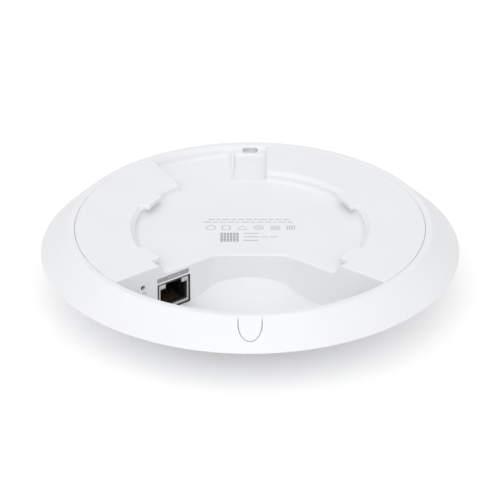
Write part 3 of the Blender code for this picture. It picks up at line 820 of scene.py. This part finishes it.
def make_lamp_windows():
    for side, x in LAMPS:
        window = wall_block(mid_box(1.52, -11.2, -9.82, x),
                            [(0.2, -0.15), (0.25, -0.05), (0.38, 0.0), (6.6, 0)], r=0.25,
                            name="jack_lamp_window_" + side)
        settle(window, milky, "jack_light_pipe_" + side)


def make_insert():
    """Black insert with its cavities, a comb of ribs, and a black surround round the shield as
    painted shade in the gap.
    """
    insert = wall_block(box(JACK_X0 + 0.42, JACK_X1 - 0.42, -19.9, -9.78),
                        [(0.62, -0.12), (0.74, 0.0), (18.2, 0)], r=0.2, name="jack_insert")
    # plug cavity, the latch's way above it, and the slot that the springs stand in
    cut(insert, wall_block(mid_box(6.2, -19.35, -11.75),
                           [(0.0, 0.25), (0.62, 0.25), (0.95, 0.0), (14.6, 0)], r=0.25))
    cut(insert, wall_block(mid_box(3.75, -13.2, -10.0), [(0.0, 0.0), (12.6, 0)], r=0.25))
    cut(insert, wall_block(mid_box(4.5, -19.7, -18.0), [(1.2, 0), (11.8, 0)], r=0.1))
    for _, x in LAMPS:
        cut(insert, wall_block(mid_box(1.6, -11.25, -9.0, x), [(0.0, 0.0), (6.8, 0)], r=0.2))
    for i in range(9):
        x = JACK_MID + (i - 4) * CONTACT_PITCH
        add(insert, wall_block(mid_box(0.13, -19.8, -18.7, x), [(1.3, 0), (6.0, 0)], r=0.05))
    # black surround filling the gap between the shield and its hole: painted shade, a dark body
    # standing for the shadow in that gap
    painted_shade_surround = wall_block(box(*JACK_HOLE), [(0.1, -0.03), (2.8, -0.03)], r=0.5)
    cut(painted_shade_surround, wall_block(box(JACK_X0, JACK_X1, JACK_Z0, JACK_Z1),
                           [(0.0, 0.02), (4.0, 0.02)], r=JACK_R))
    add(insert, painted_shade_surround)
    settle(insert, black, "jack_insulator", angle=30.0)


def make_spring(number):
    """A bent strip with chamfered edges that follows SPRING_LINE."""
    middle = JACK_MID + (number - 4.5) * CONTACT_PITCH
    w, t, c = SPRING_HALF_W, SPRING_HALF_T, SPRING_CHAMFER
    section = [(-w + c, -t), (w - c, -t), (w, -t + c), (w, t - c),
               (w - c, t), (-w + c, t), (-w, t - c), (-w, -t + c)]
    rings = []
    for k, (depth, z) in enumerate(SPRING_LINE):
        before = SPRING_LINE[max(k - 1, 0)]
        after = SPRING_LINE[min(k + 1, len(SPRING_LINE) - 1)]
        run, rise = after[0] - before[0], after[1] - before[1]
        length = math.hypot(run, rise)
        normal_depth, normal_z = -rise / length, run / length
        rings.append([on_wall(middle + across, z + normal_z * up, depth + normal_depth * up)
                      for across, up in section])
    settle(loft(rings, "jack_spring_%d" % number), gold,
           "jack_contact_%d" % number, body="jack_contacts")


def make_port_label():
    label = wall_block(box(-30.3, -14.5, -7.95, -6.0),
                       [(-0.12, -0.03), (-0.1, 0.0), (-0.03, 0.0)], r=0.12,
                       name="jack_label_film")
    settle(label, label_grey, "port_label")


def make_reset_button():
    button = wall_block(circle(RESET_X, RESET_Z, 0.7, 28),
                        [(0.9, -0.25), (0.93, -0.1), (1.05, 0.0), (5.2, 0.0)],
                        name="reset_plunger_tip")
    settle(button, black, "reset_button", body="reset_plunger")


# ------------------------------------------------------------------ printed marks
BAR_LENGTHS = (2.4, 1.5, 3.1, 1.9, 2.7)
BAR_ROWS = ((-17.0, 16.0, 12.9), (-19.0, 19.0, 10.6))            # x0, x1, y of the middle
BAR_HALF, BAR_GAP = 0.32, 0.75
SHAPE_Y0, SHAPE_Y1 = 3.9, 7.7
BLOCK_X, BLOCK_Y, BLOCK_PITCH, BLOCK_SQUARE = -12.1, -6.1, 1.3, 0.95
# x0, x1, y0, y1
SHORT_BARS = ((-2.7, 3.5, 0.6, 1.2), (-2.7, 3.9, -2.4, -1.8), (4.7, 7.4, -2.4, -1.8),
              (8.2, 11.3, -2.4, -1.8), (-2.7, 3.5, -5.5, -4.9))
DASH_X, DASH_PITCH, DASH_LENGTHS = -24.9, 1.25, (0.75, 0.75, 0.75, 0.4, 0.85)


def ink(name, shapes, material, thick=0.02, place=in_plan, z=Z_RECESS + 0.004):
    """Thin raised shapes, on the recess floor unless placed elsewhere."""
    bm = bmesh.new()
    for points in shapes:
        face = bm.faces.new([bm.verts.new((x, y, z)) for x, y in points])
        made = bmesh.ops.extrude_face_region(bm, geom=[face])["geom"]
        raised = [item for item in made if isinstance(item, bmesh.types.BMVert)]
        bmesh.ops.translate(bm, verts=raised, vec=(0, 0, thick))
    for vert in bm.verts:
        vert.co = place(*vert.co)
    settle(close(bm, name), material, weighted=False)


def ring_segments(x, y, radius, width, parts=20, start=0.0, end=360.0):
    """A ring of four-sided parts with narrow gaps between them."""
    out = []
    for k in range(parts):
        a = start + (end - start) * k / parts
        b = start + (end - start) * (k + 0.96) / parts
        out.append([polar(radius - width, a, x, y), polar(radius, a, x, y),
                    polar(radius, b, x, y), polar(radius - width, b, x, y)])
    return out


def long_bars():
    bars = []
    for row, (x, end, y) in enumerate(BAR_ROWS):
        k = 0
        while x < end - 0.8:
            length = BAR_LENGTHS[(k + 2 * row) % 5]
            bars.append(box(x, min(x + length, end), y - BAR_HALF, y + BAR_HALF))
            x += length + BAR_GAP
            k += 1
    return bars


def row_of_shapes():
    """From left to right: ring, upright frame, triangle, two rings, level and upright bars."""
    y0, y1 = SHAPE_Y0, SHAPE_Y1
    shapes = ring_segments(-16.0, 5.8, 2.1, 0.38)
    shapes += [box(-11.6, -11.2, y0, y1), box(-11.2, -8.0, y0, 4.3),
               box(-8.4, -8.0, 4.3, y1), box(-11.2, -8.4, 7.3, y1)]
    shapes += [[(-5.4, y0), (-1.0, y0), (-1.45, 4.25), (-4.95, 4.25)],
               [(-5.4, y0), (-4.95, 4.25), (-3.2, 7.1), (-3.2, 7.75)],
               [(-1.0, y0), (-3.2, 7.75), (-3.2, 7.1), (-1.45, 4.25)]]
    shapes += ring_segments(3.6, 5.8, 2.0, 0.36) + ring_segments(3.6, 5.8, 0.9, 0.36, 14)
    shapes += [box(8.4, 12.4, y, y + 0.45) for y in (3.9, 4.9, 5.9, 6.9)]
    shapes += [box(15.0 + 0.95 * k, 15.45 + 0.95 * k, y0, y1) for k in range(4)]
    return shapes


def square_block():
    columns = [BLOCK_X + BLOCK_PITCH * i for i in range(6)]
    rows = [BLOCK_Y + BLOCK_PITCH * j for j in range(6)]
    return [box(x, x + BLOCK_SQUARE, y, y + BLOCK_SQUARE) for x in columns for y in rows]


def label_dashes():
    starts = [DASH_X + DASH_PITCH * k for k in range(len(DASH_LENGTHS))]
    return [box(x, x + length, -7.3, -6.65) for x, length in zip(starts, DASH_LENGTHS)]


def print_marks():
    ink("print_bars", long_bars(), print_grey)
    ink("print_shapes", row_of_shapes(), print_grey)
    ink("print_block", square_block(), print_dark)
    ink("print_short_bars", [box(*bar) for bar in SHORT_BARS], print_grey)
    ink("label_dashes", label_dashes(), print_pale, thick=0.015, place=off_wall, z=0.121)
    reset_ring = ring_segments(-36.9, -11.0, 1.3, 0.32, parts=18, start=15, end=330)
    ink("reset_mark", reset_ring, print_dark, thick=0.015, place=off_wall, z=0.005)


# ------------------------------------------------------------------ floor, light, camera (m)
FLOOR_GLOW = 0.105          # the floor is a dimly lit light table
SKY_BASE = 0.653            # even light from everywhere
# broad soft lights of the sky: direction, power (higher is narrower), strength
SKY_LOBES = (
    ((0.0, 0.0, 1.0), 2.0, 0.351),
    ((0.0, -1.0, 1.0), 6.0, 1.82),
    ((0.0, -1.0, 0.25), 6.0, 0.2),
    ((-1.0, -0.3, 0.6), 6.0, 0.343),
    ((0.0, 1.0, 1.0), 6.0, 0.445),
)


def make_floor():
    bpy.ops.mesh.primitive_plane_add(size=8.0, location=(0, 0.5, -0.00004))
    floor = bpy.context.object
    floor.name = "studio_floor"
    paint = Paint("studio_white")
    paint.colour(paint.noise(scale=3.0), low=(0.93, 0.93, 0.935), high=(0.95, 0.95, 0.95))
    paint.put({"Roughness": 0.9, "Specular IOR Level": 0.1,
               "Emission Color": (1.0, 1.0, 1.0, 1.0), "Emission Strength": FLOOR_GLOW})
    floor.data.materials.append(paint.material)


def make_world():
    world = bpy.data.worlds.new("studio")
    world.use_nodes = True
    sky = world.node_tree
    direction = add_node(sky, "TexCoord", {}).outputs["Generated"]
    split = add_node(sky, "SeparateXYZ", {"Vector": direction})

    def calc(operation, a, b):
        return add_node(sky, "Math", {0: a, 1: b}, operation=operation).outputs[0]

    def lobe(way, power, strength):
        size = math.sqrt(sum(part * part for part in way))
        x, y, z = [calc("MULTIPLY", split.outputs[axis], part / size)
                   for axis, part in zip("XYZ", way)]
        along = calc("ADD", calc("ADD", x, y), z)
        return calc("MULTIPLY", calc("POWER", calc("MAXIMUM", along, 0.0), power), strength)

    total = lobe(*SKY_LOBES[0])
    for row in SKY_LOBES[1:]:
        total = calc("ADD", total, lobe(*row))
    feed(sky, sky.nodes["Background"], {"Strength": calc("ADD", total, SKY_BASE),
                                        "Color": (0.8, 0.8, 0.8, 1.0)})
    SCENE.world = world


def make_softbox():
    place, aim = Vector((-0.5, -1.9, 1.6)), Vector((0, 0, 0.01))
    data = bpy.data.lights.new("front_box", "AREA")
    data.shape = "RECTANGLE"
    data.size, data.size_y = 1.6, 1.2
    data.energy = 0.6
    light = bpy.data.objects.new("front_box", data)
    light.location = place
    light.rotation_euler = (aim - place).to_track_quat("-Z", "Y").to_euler()
    SCENE.collection.objects.link(light)


def make_camera():
    """Looks down from the near side."""
    data = bpy.data.cameras.new("photo_camera")
    camera = bpy.data.objects.new("photo_camera", data)
    data.sensor_width = 36.0
    data.lens = 263.9
    data.clip_end = 20.0
    camera.location = (-0.00003, -1.3154, 0.7424)
    camera.rotation_euler = (math.radians(61.27), 0.0, 0.0)
    SCENE.collection.objects.link(camera)
    SCENE.camera = camera


make_cover()
make_bezel()
make_notch_plug()
make_dome()
make_lens()
make_shield()
make_lamp_windows()
make_insert()
for contact in range(1, 9):
    make_spring(contact)
make_port_label()
make_reset_button()
print_marks()
make_floor()
make_world()
make_softbox()
make_camera()
SCENE.view_settings.view_transform = "Standard"
SCENE.view_settings.look = "None"
